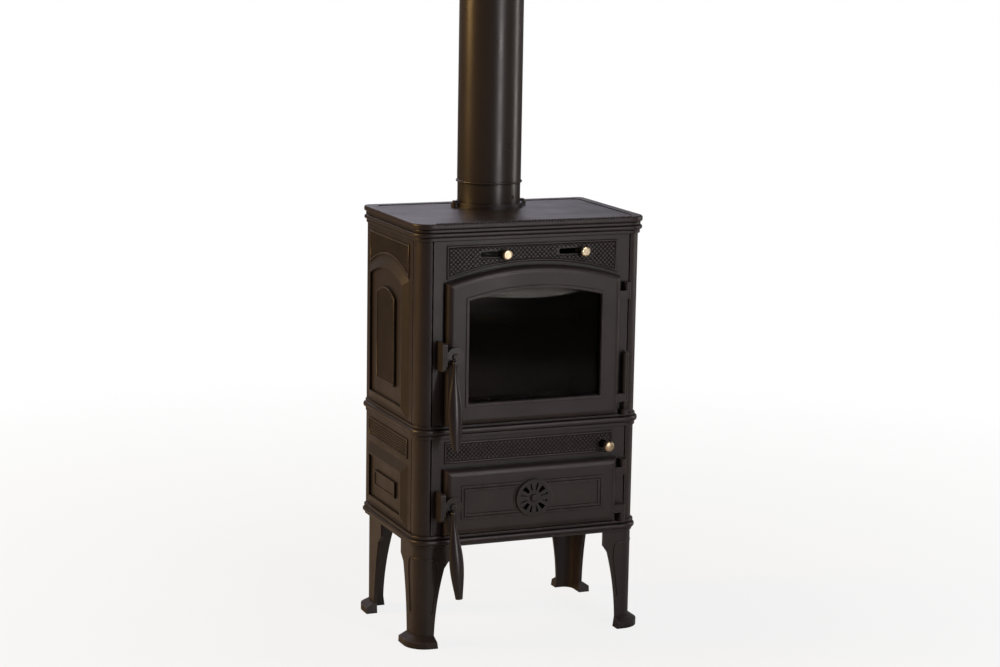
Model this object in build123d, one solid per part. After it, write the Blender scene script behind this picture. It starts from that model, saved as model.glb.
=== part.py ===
from build123d import *
from math import cos, radians, sin, sqrt
import os

os.makedirs("parts", exist_ok=True)

# Cast body. The pieces are drawn with the front plates' outer face at y = 0 and the floor at z = 0
body_width = 486.0
body_depth = 315.0
wall = 7.0
corner_radius = 28.0
corner_return = 10.0
rear_radius = 5.0
joint_groove = 3.0
tongue_reach = 6.0
tongue_thickness = 5.0
back_inset = 7.0
leg_height = 208.0
lower_height = 200.0
upper_height = 375.0

# Moulded bands of the horizontal castings, from the bottom up: height, reach and edge radius
base_bands = [(5.0, 3.0, 1.2), (12.0, 8.0, 5.5), (8.0, 5.0, 3.0)]
mid_bands = [(8.0, 3.0, 1.5), (13.0, 8.0, 5.5), (6.0, 3.5, 1.5)]
cornice_bands = [(8.0, 4.0, 2.0), (9.0, 8.5, 4.0)]
top_bands = [(7.0, 5.0, 2.0), (12.0, 9.0, 4.0)]

# Top plate and flue
top_thickness = 8.0
top_border = 22.0
top_recess = 1.5
top_recess_radius = 18.0
cornice_ledge = 40.0
flue_inset = 72.0
pipe_bore = 65.0
pipe_wall = 2.0
pipe_length = 474.0
socket_depth = 50.0
socket_gap = 0.3
socket_shoulder = 3.0
adapter_radius = 66.0
adapter_height = 42.0
bead_height = 5.0
bead_reach = 2.5
spigot_height = 40.0
spigot_gap = 0.1
collar_flange = 8.0
collar_radius = 70.0
collar_spigot = 30.0
collar_wall = 4.0
collar_lug = 75.0
collar_lug_radius = 9.0
collar_bolt = 3.0

# Raised frames and panels
bead = 3.5
bead_rise = 1.6
front_panel_half = 186.0
upper_panel_top = 10.0
upper_panel_height = 66.0
upper_panel_rise = 30.0
mid_panel_top = 8.0
mid_panel_height = 43.0
side_margin = 21.0
pad_rise = 9.0
pad_flank = 19.0
pad_lip = 3.0
pad_recess = 5.0
side_arch_rise = 30.0
side_pad_foot = 4.0
side_pad_spring = 87.0
side_frame_top = 14.0
inner_panel_half = 53.0
inner_panel_foot = 60.0
inner_panel_spring = 135.0
inner_panel_arch = 18.0
inner_panel_rise = 3.0
strip_top = 10.0
strip_height = 40.0
lower_pad_top = 63.0
bar_half = 62.0
bar_height = 33.0

# Doors
door_half = 190.0
door_gap = 1.0
door_depth = 21.0
door_wall = 8.0
door_round = 13.0
door_clear = 2.0
fire_door_spring = 84.0
fire_door_rise = 30.0
ash_door_height = 136.0
rope_width = 9.0
rope_seat = 0.3
seal_rib = 4.0
opening_overlap = 26.0
sill = 6.5

# Glass
glass_window_inset = 45.5
glass_lap = 11.0
glass_thickness = 4.0
gasket_thickness = 2.0
window_bead = 6.0
clip_width = 14.0
clip_lap = 6.0
clip_reach = 8.0
clip_thickness = 2.5
clip_screw = 2.5
deflector_half = 100.0
deflector_drop = 13.0
deflector_thickness = 2.0

# Hinges
hinge_x = 206.5
hinge_y = -11.0
knuckle_radius = 7.5
knuckle_height = 16.5
pin_radius = 4.0
pin_clearance = 0.05
hinge_gap = 0.5
fire_upper_lug = 242.0
fire_lower_lug = 27.0
ash_upper_lug = 98.0
ash_lower_lug = 18.0
barrel_height = 88.0
barrel_radius = 7.0

# Latches
latch_x = -176.0
fire_latch_z = 606.0
ash_latch_z = 298.0
latch_bolt = 4.0
latch_plate = 6.0
latch_gap = 0.5
claw_reach = 18.5
latch_head = 6.5
keeper_gap = 0.8
keeper_wall = 6.5
keeper_height = 58.0
keeper_nose = 6.0
neck_radius = 5.5
neck_angle = 30.0
neck_inset = 12.7
grip_drop = 28.0
grip_length = 183.0
grip_reach = 68.0
grip_width = 15.0
grip_depth = 10.5
grip_tip_depth = 6.5
fire_grip_turn = -1.0
ash_grip_turn = 2.5

# Air rosette of the ash door
rosette_radius = 39.0
rosette_thickness = 5.0
rosette_inner = 16.0
rosette_outer = 31.0
rosette_wide = 20.0
rosette_narrow = 9.0
rosette_bolt = 4.0

# Air shutters behind the upper front plate
slot_centre = 85.5
slot_length = 58.0
slot_height = 12.0
slot_drop = 30.0
shutter_height = 24.0
shutter_thickness = 3.0
shutter_gap = 0.4
guide_wall = 3.0
knob_radius = 10.5
knob_length = 11.0
knob_stem = 3.5
air_knob_reach = 20.0

# Fire grate and riddling gear
floor_thickness = 7.0
floor_drop = 6.0
grate_half = 120.0
grate_front = 80.0
grate_depth = 170.0
grate_ledge = 6.0
grate_thickness = 9.0
grate_gap = 1.0
grate_slots = 9
grate_slot_width = 9.0
riddle_half = 112.0
riddle_front = 100.0
riddle_depth = 140.0
riddle_thickness = 5.0
riddle_travel = 45.0
riddle_drop = 6.0
rail_width = 6.0
rail_lip = 5.0
rod_radius = 5.0
rod_x = 164.5
rod_drop = 34.0
rod_end = 150.0
rod_hole = 9.0
riddle_knob_reach = 30.0

# Firebox lining
liner_thickness = 20.0
liner_height = 246.0
liner_front = 52.0
baffle_thickness = 6.0
baffle_front = 100.0
retainer_height = 50.0
retainer_gap = 11.5
retainer_slot = 10.0
retainer_slots = 9

# Ash pan
pan_half = 150.0
pan_front = 30.0
pan_clear = 21.0
pan_height = 62.0
pan_wall = 2.0
pan_stop = 3.0
pull_half = 40.0
pull_reach = 14.0
pull_drop = 16.0
pull_lip = 8.0
runner_height = 7.0
runner_width = 12.0

# Legs and fasteners
foot_reach = 17.0
foot_height = 22.0
foot_slope = 9.0
collar_height = 30.0
leg_front_top = 71.0
leg_front_shoulder = 60.0
leg_front_ankle = 39.0
leg_side_top = 96.0
leg_side_shoulder = 80.0
leg_side_ankle = 56.0
leg_tab = 8.0
leg_tab_width = 46.0
leg_bolt_edge = 11.0
leg_bolt = 5.0
leg_bolt_bite = 14.0
leg_bolt_head = 6.0
rod_tie = 4.0
nut_height = 6.0
nut_radius = 8.0


def stack_height(bands):
    return sum(height for height, reach, edge in bands)


# Derived levels and faces
half = body_width / 2
inner_half = half - wall
front_half = half - corner_radius - joint_groove / 2
side_start = corner_radius + corner_return + joint_groove / 2
side_mid = (side_start + body_depth) / 2
side_half = side_mid - side_start - side_margin
back_y = body_depth - back_inset
back_inner = back_y - wall
lower_z = leg_height + stack_height(base_bands)
mid_z = lower_z + lower_height
upper_z = mid_z + stack_height(mid_bands)
cornice_z = upper_z + upper_height
top_z = cornice_z + stack_height(cornice_bands)
plate_z = top_z + stack_height(top_bands)
floor_top = upper_z - floor_drop
floor_z = floor_top - floor_thickness
door_face = -door_gap - door_depth
door_web = door_face + door_wall
fire_door_z = upper_z + door_clear
fire_spring_z = cornice_z - fire_door_spring
ash_door_z = lower_z + door_clear
slot_z = cornice_z - slot_drop
rod_z = mid_z - rod_drop
riddle_z = floor_z - riddle_drop - riddle_thickness
runner_top = lower_z + runner_height
window_back = door_web + gasket_thickness + glass_thickness
flue_y = body_depth - flue_inset
pan_depth = back_inner - pan_front - pan_clear
retainer_half = front_half - tongue_reach - retainer_gap
latch_front = door_face - latch_gap - latch_plate
keeper_front = latch_front - keeper_gap - keeper_nose
tie_places = [
    (half - corner_radius + rod_tie, corner_radius),
    (inner_half - liner_thickness / 2, back_inner - liner_thickness / 2),
]


def slab(face, y_front, y_back):
    """Plate parallel to the front, from a face drawn in x and z."""
    return extrude(Plane.XZ.offset(-y_back) * face, y_back - y_front)


def side_slab(face, x_inner, x_outer):
    """Plate parallel to the right side, from a face drawn in y and z."""
    return extrude(Plane.YZ.offset(x_inner) * face, x_outer - x_inner)


def block(x0, x1, y0, y1, z0, z1):
    return Pos((x0 + x1) / 2, (y0 + y1) / 2, (z0 + z1) / 2) * Box(x1 - x0, y1 - y0, z1 - z0)


def post(x, y, z0, z1, radius):
    return Pos(x, y, (z0 + z1) / 2) * Cylinder(radius, z1 - z0)


def bar(x, z, y0, y1, radius):
    """Round bar along y."""
    return Pos(x, (y0 + y1) / 2, z) * Rot(X=90) * Cylinder(radius, y1 - y0)


def oblong(half_width, bottom, top, inset=0.0):
    width = 2 * (half_width - inset)
    height = top - bottom - 2 * inset
    return Pos(0, (bottom + top) / 2) * Rectangle(width, height)


def arched(half_width, bottom, spring, rise, inset=0.0):
    """Upright face with a segmental arch on top, drawn in by an even inset."""
    radius = (half_width**2 + rise**2) / (2 * rise)
    centre = spring + rise - radius
    h = half_width - inset
    r = radius - inset
    s = centre + sqrt(r**2 - h**2)
    b = bottom + inset
    sides = Polyline((-h, s), (-h, b), (h, b), (h, s))
    crown = ThreePointArc((h, s), (0, centre + r), (-h, s))
    return Face(Wire(sides.edges() + crown.edges()))


def spandrel(half_width, top, spring, rise, inset=0.0):
    """Face with a straight top and an arched lower edge."""
    radius = (half_width**2 + rise**2) / (2 * rise)
    centre = spring + rise - radius
    h = half_width - inset
    r = radius + inset
    s = centre + sqrt(r**2 - h**2)
    t = top - inset
    sides = Polyline((-h, s), (-h, t), (h, t), (h, s))
    sill_arc = ThreePointArc((h, s), (0, centre + r), (-h, s))
    return Face(Wire(sides.edges() + sill_arc.edges()))


def plan(reach):
    """Plan of the body with rounded front corners, grown by reach."""
    sheet = Pos(0, body_depth / 2) * Rectangle(body_width + 2 * reach, body_depth + 2 * reach)
    sheet = fillet(sheet.vertices().group_by(Axis.Y)[0], max(corner_radius + reach, 1.0))
    return fillet(sheet.vertices().group_by(Axis.Y)[-1], max(rear_radius + reach, 1.0))


def prism(face, z0, z1):
    return extrude(Pos(0, 0, z0) * face, z1 - z0)


def moulding(bands, z):
    """Stack of rounded bands that follows the body's plan."""
    solid = Part()
    for height, reach, edge in bands:
        band = prism(plan(reach), z, z + height)
        solid += fillet(band.faces().filter_by(Axis.Z).edges(), edge)
        z += height
    return solid


def both_sides(solid):
    return [solid, mirror(solid, Plane.YZ)]


def tie_holes(z0, z1, radius):
    holes = []
    for x, y in tie_places:
        holes += both_sides(post(x, y, z0, z1, radius))
    return holes


# Horizontal castings

def make_base_frame():
    solid = moulding(base_bands, leg_height)
    solid -= prism(plan(-wall), leg_height, lower_z - floor_thickness)
    for y0, y1 in ((wall, leg_side_top), (body_depth - leg_side_top, body_depth - wall)):
        pad = block(inner_half - leg_tab_width, inner_half, y0, y1, leg_height, lower_z)
        solid += both_sides(pad & prism(plan(-wall / 2), leg_height, lower_z))
    for y in leg_bolt_places():
        solid -= both_sides(post(leg_bolt_x, y, leg_height, leg_height + leg_bolt_bite, leg_bolt))
    runner = block(pan_half - runner_width, pan_half, wall, pan_front + pan_depth, lower_z, runner_top)
    solid += both_sides(runner)
    stop_y = pan_front + pan_depth
    stop = block(pan_half - runner_width, pan_half, stop_y, stop_y + wall, lower_z, runner_top + pan_stop)
    solid += both_sides(stop)
    solid -= tie_holes(leg_height, lower_z, rod_tie + pin_clearance)
    solid -= tie_holes(leg_height, lower_z - floor_thickness, nut_radius + 1)
    return solid


def make_mid_frame():
    solid = moulding(mid_bands, mid_z)
    solid -= prism(plan(-wall), floor_top, upper_z)
    solid -= prism(plan(-wall), mid_z, floor_z)
    y1 = grate_front + grate_depth
    inner = grate_ledge
    solid -= block(-grate_half, grate_half, grate_front, y1, floor_top - grate_thickness / 2, floor_top)
    solid -= block(inner - grate_half, grate_half - inner, grate_front + inner, y1 - inner, mid_z, floor_top)
    rail_x = riddle_half + shutter_gap
    rail_y0 = riddle_front - riddle_travel - rail_lip
    rail_y1 = riddle_front + riddle_depth + rail_lip
    rail = block(rail_x, rail_x + rail_width, rail_y0, rail_y1, riddle_z - rail_lip, floor_z)
    lip = block(rail_x - rail_lip, rail_x, rail_y0, rail_y1, riddle_z - rail_lip, riddle_z)
    solid += both_sides(rail + lip)
    solid -= tie_holes(mid_z, upper_z, rod_tie + pin_clearance)
    return solid


def make_cornice_frame():
    solid = moulding(cornice_bands, cornice_z)
    solid -= prism(plan(-cornice_ledge), cornice_z, top_z)
    solid -= prism(plan(-wall), cornice_z + wall, top_z)
    return solid - tie_holes(cornice_z, top_z, rod_tie + pin_clearance)


def make_top_plate():
    solid = moulding(top_bands, top_z)
    solid -= prism(plan(-wall), top_z, plate_z - top_thickness)
    reach = top_bands[-1][1]
    field = Rectangle(body_width + 2 * (reach - top_border), body_depth + 2 * (reach - top_border))
    field = fillet(field.vertices(), top_recess_radius)
    solid -= prism(Pos(0, body_depth / 2) * field, plate_z - top_recess, plate_z)
    solid += post(0, flue_y, plate_z - top_thickness, plate_z, collar_radius + pad_lip)
    for side in (-1, 1):
        solid += post(side * collar_lug, flue_y, plate_z - top_thickness, plate_z, collar_lug_radius)
        solid -= post(side * collar_lug, flue_y, top_z, plate_z, collar_bolt)
    return solid - post(0, flue_y, top_z, plate_z, flue_bore)


# Upright plates of the body

def make_corner_post(z0, z1):
    ring = Circle(corner_radius) - Circle(corner_radius - wall)
    quarter = ring & (Pos(-corner_radius / 2, -corner_radius / 2) * Rectangle(corner_radius, corner_radius))
    centre_x = corner_radius - half
    shell = Pos(centre_x, corner_radius) * quarter
    solid = prism(shell, z0, z1)
    return_end = side_start - joint_groove
    solid += block(-half, -inner_half, corner_radius, return_end, z0, z1)
    solid += block(-inner_half, tongue_thickness - inner_half, corner_radius, side_start + tongue_reach, z0, z1)
    front_edge = -front_half + tongue_reach
    solid += block(centre_x - tongue_reach, front_edge, wall, wall + tongue_thickness, z0, z1)
    return solid - block(-front_half - joint_groove, -front_half, 0, wall, z0, z1)


def relief(outer, inner, x, rise):
    """Solid between an outer face at x and a smaller face standing rise further out."""
    return loft([Plane.YZ.offset(x) * outer, Plane.YZ.offset(x + rise) * inner], ruled=True)


def ring(face_of, width):
    return face_of(0.0) - face_of(width)


def make_upper_side():
    plate = Pos(side_mid, (upper_z + cornice_z) / 2) * Rectangle(body_depth - side_start, upper_height)
    solid = side_slab(plate, inner_half, half)
    spring = cornice_z - side_pad_spring
    foot = upper_z + side_pad_foot

    def pad(inset):
        return Pos(side_mid, 0) * arched(side_half, foot, spring, side_arch_rise, inset)

    def corner_frame(inset):
        low = spring + pad_lip + bead
        return Pos(side_mid, 0) * spandrel(side_half, cornice_z - side_frame_top, low, side_arch_rise, inset)

    def inner_panel(inset):
        bottom = upper_z + inner_panel_foot
        top = cornice_z - inner_panel_spring
        return Pos(side_mid, 0) * arched(inner_panel_half, bottom, top, inner_panel_arch, inset)

    solid += relief(pad(0.0), pad(pad_flank), half, pad_rise)
    solid -= side_slab(pad(pad_flank + pad_lip), half + pad_rise - pad_recess, half + pad_rise)
    solid -= relief(pad(wall), pad(wall + pad_flank), inner_half, pad_rise - bead)
    floor_x = half + pad_rise - pad_recess
    solid += side_slab(inner_panel(0.0), floor_x, floor_x + inner_panel_rise)
    solid += side_slab(ring(inner_panel, bead), floor_x, floor_x + inner_panel_rise + bead_rise)
    return solid + side_slab(ring(corner_frame, bead), half, half + bead_rise)


def make_lower_side():
    plate = Pos(side_mid, (lower_z + mid_z) / 2) * Rectangle(body_depth - side_start, lower_height)
    solid = side_slab(plate, inner_half, half)

    def pad(inset):
        return Pos(side_mid, 0) * oblong(side_half, lower_z + side_pad_foot, mid_z - lower_pad_top, inset)

    def strip(inset):
        top = mid_z - strip_top
        return Pos(side_mid, 0) * oblong(side_half, top - strip_height, top, inset)

    def panel_bar(inset):
        middle = (lower_z + side_pad_foot + mid_z - lower_pad_top) / 2
        return Pos(side_mid, middle) * oblong(bar_half, -bar_height / 2, bar_height / 2, inset)

    solid += relief(pad(0.0), pad(pad_flank), half, pad_rise)
    solid -= side_slab(pad(pad_flank + pad_lip), half + pad_rise - pad_recess, half + pad_rise)
    solid -= relief(pad(wall), pad(wall + pad_flank), inner_half, pad_rise - bead)
    floor_x = half + pad_rise - pad_recess
    solid += side_slab(panel_bar(0.0), floor_x, floor_x + inner_panel_rise)
    solid += side_slab(ring(panel_bar, bead), floor_x, floor_x + inner_panel_rise + bead_rise)
    return solid + side_slab(ring(strip, bead), half, half + bead_rise)


def make_back_panel(z0, z1):
    solid = slab(oblong(inner_half, z0, z1), back_inner, back_y)
    field = oblong(inner_half, z0, z1, side_margin)
    field_inner = oblong(inner_half, z0, z1, side_margin + bead)
    return solid + slab(field - field_inner, back_y, back_y + bead_rise)


def fire_opening(inset=0.0):
    return arched(
        door_half, fire_door_z, fire_spring_z, fire_door_rise, opening_overlap + inset
    )


def knuckle(z0, z1):
    solid = post(hinge_x, hinge_y, z0, z1, knuckle_radius)
    solid += block(hinge_x - knuckle_radius, hinge_x + knuckle_radius, hinge_y, 0, z0, z1)
    return solid - post(hinge_x, hinge_y, z0, z1, pin_radius + pin_clearance)


def keeper_screw_holes(z, y0, y1):
    holes = []
    for dz in (-keeper_height / 3, keeper_height / 3):
        holes.append(bar(keeper_x, z + dz, y0, y1, clip_screw))
    return holes


def make_upper_front():
    solid = slab(oblong(front_half, upper_z, cornice_z), 0, wall)
    solid -= slab(fire_opening(), 0, wall)

    def panel(inset):
        top = cornice_z - upper_panel_top
        return spandrel(front_panel_half, top, top - upper_panel_height, upper_panel_rise, inset)

    solid += slab(ring(panel, bead), -bead_rise, 0)
    for side in (-1, 1):
        slot = Pos(side * slot_centre, slot_z) * SlotOverall(slot_length, slot_height)
        solid -= slab(slot, 0, wall)
    upper_knuckle = fire_door_z + fire_upper_lug + knuckle_height + hinge_gap
    lower_knuckle = fire_door_z + fire_lower_lug - knuckle_height - hinge_gap
    solid += knuckle(upper_knuckle, upper_knuckle + knuckle_height)
    solid += knuckle(upper_z, lower_knuckle)
    return solid - keeper_screw_holes(fire_latch_z, 0, wall)


def make_lower_front():
    solid = slab(oblong(front_half, lower_z, mid_z), 0, wall)
    opening_top = ash_door_z + ash_door_height - opening_overlap
    solid -= slab(oblong(door_half - opening_overlap, lower_z + sill, opening_top), 0, wall)

    def panel(inset):
        top = mid_z - mid_panel_top
        return oblong(front_panel_half, top - mid_panel_height, top, inset)

    solid += slab(ring(panel, bead), -bead_rise, 0)
    solid -= bar(rod_x, rod_z, 0, wall, rod_hole)
    upper_knuckle = ash_door_z + ash_upper_lug + knuckle_height + hinge_gap
    lower_knuckle = ash_door_z + ash_lower_lug - hinge_gap
    solid += knuckle(upper_knuckle, upper_knuckle + knuckle_height)
    solid += knuckle(lower_z, lower_knuckle)
    return solid - keeper_screw_holes(ash_latch_z, 0, wall)


# Doors

def fire_outline(inset=0.0):
    return arched(door_half, fire_door_z, fire_spring_z, fire_door_rise, inset)


def ash_outline(inset=0.0):
    return oblong(door_half, ash_door_z, ash_door_z + ash_door_height, inset)


def door_shell(outline):
    """Hollow-backed door with a rounded flank and a channel for the sealing rope."""
    solid = slab(outline(0.0), door_face, -door_gap)
    solid = fillet(solid.faces().sort_by(Axis.Y)[0].edges(), door_round)
    solid -= slab(outline(door_wall), door_web, -door_gap)
    rib = outline(door_wall + rope_width) - outline(door_wall + rope_width + seal_rib)
    return solid + slab(rib, door_web, -door_gap - seal_rib)


def lug(z0, z1):
    solid = post(hinge_x, hinge_y, z0, z1, knuckle_radius)
    solid += block(door_half - door_wall, hinge_x, hinge_y - knuckle_radius, hinge_y + knuckle_radius, z0, z1)
    return solid - post(hinge_x, hinge_y, z0, z1, pin_radius + pin_clearance)


def latch_hole(z):
    """Blind tapped hole for the latch's bolt."""
    return bar(latch_x, z, door_face, door_web - latch_gap, latch_bolt)


def clip_places():
    side_x = door_half - glass_window_inset + glass_lap + clip_reach / 2
    glass_low = fire_door_z + glass_window_inset - glass_lap - clip_reach / 2
    glass_high = fire_spring_z + fire_door_rise - glass_window_inset + glass_lap + clip_reach / 2
    low = fire_door_z + 2 * glass_window_inset
    high = fire_spring_z - glass_window_inset
    sides = [(side_x, low, 0), (side_x, high, 0), (-side_x, low, 180), (-side_x, high, 180)]
    return sides + [(0, glass_low, -90), (0, glass_high, 90)]


def clip_solid(y0, y1):
    """Clip that laps the glass towards -x from its screw at the origin."""
    length = clip_reach + clip_lap
    return block(-length + clip_reach / 2, clip_reach / 2, y0, y1, -clip_width / 2, clip_width / 2)


def at_clip(solid, x, z, turn):
    return Pos(x, 0, z) * Rot(Y=-turn) * solid


def make_fire_door():
    solid = door_shell(fire_outline)
    window = fire_outline(glass_window_inset)
    solid -= slab(window, door_face, door_web)
    edge = fire_outline(glass_window_inset - window_bead) - fire_outline(glass_window_inset - 1.5)
    solid += slab(edge, door_face - bead_rise, door_face)
    for x, z, turn in clip_places():
        stub = block(-clip_reach / 2 + 1, clip_reach / 2, door_web, window_back, -clip_width / 2, clip_width / 2)
        solid += at_clip(stub, x, z, turn)
        solid -= bar(x, z, door_web + 1, window_back, clip_screw)
    solid -= latch_hole(fire_latch_z)
    low = fire_door_z + fire_lower_lug
    high = fire_door_z + fire_upper_lug
    return solid + lug(low, low + knuckle_height) + lug(high, high + knuckle_height)


def make_rope(outline):
    face = outline(door_wall) - outline(door_wall + rope_width)
    rope = slab(face, door_web, -rope_seat)
    rear = rope.faces().sort_by(Axis.Y)[-1]
    return fillet(rear.edges(), rope_width / 3)


def make_glass():
    return slab(fire_outline(glass_window_inset - glass_lap), window_back - glass_thickness, window_back)


def make_gasket():
    face = fire_outline(glass_window_inset - glass_lap) - fire_outline(glass_window_inset - 1)
    return slab(face, door_web, door_web + gasket_thickness)


def make_clips():
    solids = []
    for x, z, turn in clip_places():
        clip = clip_solid(window_back, window_back + clip_thickness)
        clip -= bar(0, 0, window_back, window_back + clip_thickness, clip_screw)
        solids.append(at_clip(clip, x, z, turn))
    return solids


def make_clip_screws():
    solids = []
    top = window_back + clip_thickness
    for x, z, turn in clip_places():
        seat = top + deflector_thickness if turn == 90 else top
        screw = bar(x, z, door_web + 1, seat, clip_screw)
        solids.append(screw + bar(x, z, seat, seat + 1.5, 2 * clip_screw))
    return solids


def make_deflector():
    """Air deflector behind the top of the glass, with a tab under the top clip's screw."""
    peak = fire_spring_z + fire_door_rise - glass_window_inset
    z_end = fire_outline(glass_window_inset).vertices().sort_by(Axis.Y)[-1].Y
    crown = ThreePointArc((deflector_half, z_end + 5), (0, peak + 2), (-deflector_half, z_end + 5))
    belly = ThreePointArc((-deflector_half, z_end + 5), (0, peak - 9 - deflector_drop), (deflector_half, z_end + 5))
    y0 = window_back + clip_thickness
    solid = slab(Face(Wire(crown.edges() + belly.edges())), y0, y0 + deflector_thickness)
    x, z, turn = clip_places()[-1]
    tab = block(-clip_width / 2, clip_width / 2, y0, y0 + deflector_thickness, peak - 2, z + clip_reach / 2)
    return solid + tab - bar(x, z, y0, y0 + deflector_thickness, clip_screw)


def sector(angle, width):
    a0 = radians(angle - width / 2)
    a1 = radians(angle + width / 2)
    a = radians(angle)
    points = [(r * cos(t), r * sin(t)) for r, t in (
        (rosette_inner, a0), (rosette_outer, a0), (rosette_outer, a1), (rosette_inner, a1))]
    low = Line(points[0], points[1])
    rim = ThreePointArc(points[1], (rosette_outer * cos(a), rosette_outer * sin(a)), points[2])
    high = Line(points[2], points[3])
    hub = ThreePointArc(points[3], (rosette_inner * cos(a), rosette_inner * sin(a)), points[0])
    return Pos(0, rosette_z) * Face(Wire([low, rim, high, hub]))


def make_ash_door():
    solid = door_shell(ash_outline)

    def frame(inset):
        return ash_outline(glass_window_inset - window_bead * 2 + inset)

    solid += slab(ring(frame, bead), door_face - bead_rise, door_face)
    inner = frame(2 * bead) - frame(3 * bead)
    solid += slab(inner, door_face - bead_rise, door_face)
    solid += bar(0, rosette_z, door_face - bead_rise, door_face, rosette_radius + bead)
    solid -= bar(0, rosette_z, door_face - bead_rise, door_web, rosette_bolt)
    for angle in (45, 135, 225, 315):
        solid -= slab(sector(angle, rosette_wide), door_face - bead_rise, door_web)
    solid -= latch_hole(ash_latch_z)
    low = ash_door_z + ash_lower_lug
    high = ash_door_z + ash_upper_lug
    return solid + lug(low, low + knuckle_height) + lug(high, high + knuckle_height)


def make_rosette():
    back = door_face - bead_rise - shutter_gap
    front = back - rosette_thickness
    solid = bar(0, rosette_z, front, back, rosette_radius)
    solid = chamfer(solid.faces().sort_by(Axis.Y)[0].edges(), 1.5)
    for step in range(12):
        width = rosette_wide if step % 3 == 1 else rosette_narrow
        solid -= slab(sector(15 + 30 * step, width), front, back)
    return solid - bar(0, rosette_z, front, back, rosette_bolt + pin_clearance)


def make_rosette_bolt():
    seat = door_face - bead_rise - shutter_gap - rosette_thickness
    head = bar(0, rosette_z, seat - shutter_gap - 4, seat - shutter_gap, 2 * rosette_bolt)
    head = fillet(head.faces().sort_by(Axis.Y)[0].edges(), 3)
    shank = bar(0, rosette_z, seat - shutter_gap, door_web + 6, rosette_bolt)
    nut = bar(0, rosette_z, door_web, door_web + 5, 2 * rosette_bolt)
    return head + shank + nut


# Hinge pins

def make_pin(z0, z1):
    return post(hinge_x, hinge_y, z0, z1, pin_radius)


def make_fire_lower_pin():
    top = fire_door_z + fire_lower_lug + knuckle_height + hinge_gap
    solid = make_pin(upper_z, top)
    barrel = post(hinge_x, hinge_y, top, top + barrel_height - barrel_radius, barrel_radius)
    point = Pos(hinge_x, hinge_y, top + barrel_height - barrel_radius / 2) * Cone(barrel_radius, 2, barrel_radius)
    return solid + barrel + point


def make_fire_upper_pin():
    low = fire_door_z + fire_upper_lug
    return make_pin(low, low + 2 * knuckle_height + hinge_gap)


def make_ash_pins():
    upper = ash_door_z + ash_upper_lug
    lower = ash_door_z + ash_lower_lug
    return [
        make_pin(upper, upper + 2 * knuckle_height + hinge_gap),
        make_pin(lower_z, lower + knuckle_height),
    ]


# Latches

def make_keeper(z):
    """Wall on the front plate whose nose stands in front of the claw."""
    nose_y = latch_front - keeper_gap
    z0 = z - keeper_height / 2
    z1 = z + keeper_height / 2
    solid = block(keeper_x - keeper_wall / 2, keeper_x + keeper_wall / 2, keeper_front, 0, z0, z1)
    claw_edge = latch_x - claw_reach - keeper_gap
    solid += block(keeper_x, claw_edge, keeper_front, nose_y, z0 + 8, z1)
    rounding = solid.edges().filter_by(Axis.X).group_by(Axis.Y)[0]
    solid = fillet(rounding, keeper_nose - 1)
    return solid - keeper_screw_holes(z, -wall, 0)


def make_keeper_screws():
    solids = []
    for z in (fire_latch_z, ash_latch_z):
        for dz in (-keeper_height / 3, keeper_height / 3):
            shank = bar(keeper_x, z + dz, -wall, wall, clip_screw)
            solids.append(shank + bar(keeper_x, z + dz, wall, wall + 3, 2 * clip_screw))
    return solids


def make_handle(z, turn):
    """Latch disc with a neck that clears the keeper and a spindle-shaped grip that hangs from it."""
    back = door_face - latch_gap
    neck_x = -neck_inset * sin(radians(neck_angle))
    neck_z = -neck_inset * cos(radians(neck_angle))
    neck_start = (neck_z + grip_drop) / (grip_drop - grip_length)
    arm_y = keeper_front - neck_radius - 2 * keeper_gap
    solid = bar(0, 0, latch_front, back, claw_reach)
    neck = bar(neck_x, neck_z, arm_y - neck_radius, latch_front + latch_plate / 2, neck_radius)
    solid += fillet(neck.faces().sort_by(Axis.Y)[0].edges(), 0.7 * neck_radius)
    stem = neck_radius - 0.5
    share = [(neck_start, stem, stem), (0.0, stem, stem), (0.3, 0.8 * grip_width, 0.8 * grip_depth)]
    share += [(0.55, grip_width, grip_depth), (0.85, 0.72 * grip_width, 0.78 * grip_depth)]
    share += [(1.0, 0.5 * grip_width, grip_tip_depth)]
    sections = []
    for t, a, b in share:
        z_here = -grip_drop - t * (grip_length - grip_drop)
        y_here = arm_y + max(t, 0) * (grip_tip_depth - grip_reach - arm_y)
        sections.append(Pos(neck_x, y_here, z_here) * Ellipse(a, b))
    solid += loft(sections)
    solid -= bar(0, 0, latch_front, back, latch_bolt + pin_clearance)
    return Pos(latch_x, 0, z) * Rot(Y=-turn) * solid


def make_latch_bolt(z):
    seat = latch_front - shutter_gap
    head = chamfer(bar(latch_x, z, seat - 4, seat, latch_head).faces().sort_by(Axis.Y)[0].edges(), 1.2)
    return head + bar(latch_x, z, seat, door_web - latch_gap, latch_bolt)


# Air shutters

def make_guide():
    """Strip behind the front plate that holds both shutters in a groove."""
    reach = slot_centre + slot_length / 2 + shutter_length / 2
    depth = shutter_thickness + 2 * shutter_gap
    outer = oblong(reach, slot_z - shutter_height / 2 - guide_wall, slot_z + shutter_height / 2 + guide_wall)
    solid = slab(outer, wall, wall + depth + guide_wall)
    groove = oblong(reach, slot_z - shutter_height / 2 - shutter_gap, slot_z + shutter_height / 2 + shutter_gap)
    solid -= slab(groove, wall, wall + depth)
    for side in (-1, 1):
        port = Pos(side * slot_centre, slot_z) * SlotOverall(slot_length + 2 * shutter_gap, slot_height)
        solid -= slab(port, wall + depth, wall + depth + guide_wall)
    return solid


def stem_x(side):
    return side * slot_centre + slot_length / 2 - slot_height / 2


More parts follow.
